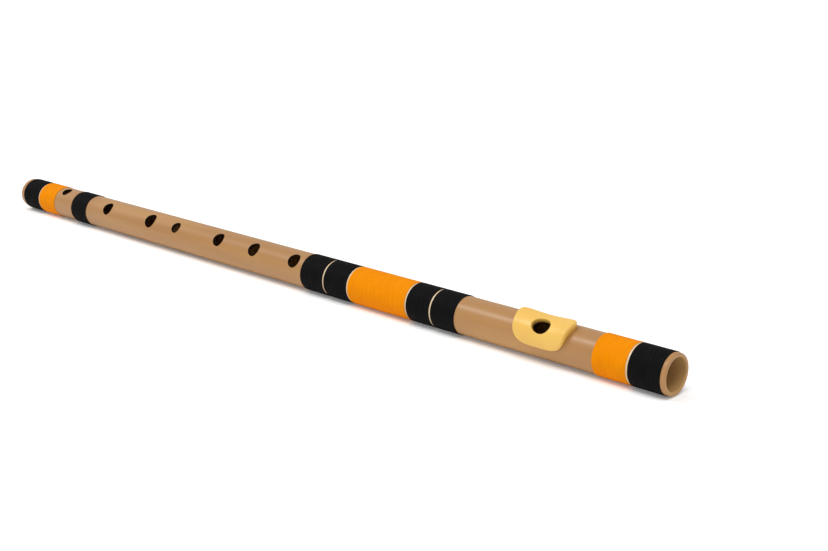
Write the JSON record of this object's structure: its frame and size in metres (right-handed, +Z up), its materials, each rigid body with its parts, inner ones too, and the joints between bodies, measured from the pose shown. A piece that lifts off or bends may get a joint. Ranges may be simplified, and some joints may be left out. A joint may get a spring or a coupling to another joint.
{
  "type": "bansuri flute",
  "caption": "One-piece side-blown flute: a smooth tan tube with in-line finger holes, a moulded lip plate, black and orange thread wraps and a sliding tuning stopper in the bore.",
  "frame": {"origin": "middle of the base of the bounding box, on the surface that the wraps rest on, halfway between the two ends", "axes": "+X along the bore towards the head end, where the player blows; +Z up as the flute lies on a table; the finger holes face 47.5 degrees and the embouchure hole 42.5 degrees from +Z towards -Y"},
  "size_m": [0.6632, 0.0274, 0.0296],
  "materials": {
    "tube_tan": "satin",
    "thread_black": "matt thread",
    "thread_orange": "matt thread",
    "plate_yellow": "soft gloss",
    "cork": "matt cork"
  },
  "bodies": {
    "flute": {"tube": "tube_tan", "lip_plate": "plate_yellow", "head_black_wrap": "thread_black", "head_orange_wrap": "thread_orange", "mid_black_wrap_1": "thread_black", "mid_black_wrap_2": "thread_black", "mid_orange_wrap": "thread_orange", "mid_black_wrap_3": "thread_black", "mid_black_wrap_4": "thread_black", "lower_black_wrap": "thread_black", "foot_orange_wrap": "thread_orange", "foot_black_wrap": "thread_black"},
    "stopper": {"tuning_stopper": "cork"}
  },
  "joints": [
    {"name": "stopper_slide", "type": "slide", "parent": "flute", "child": "stopper", "axis": [1, 0, 0], "range_m": [-0.004, 0.004]}
  ]
}
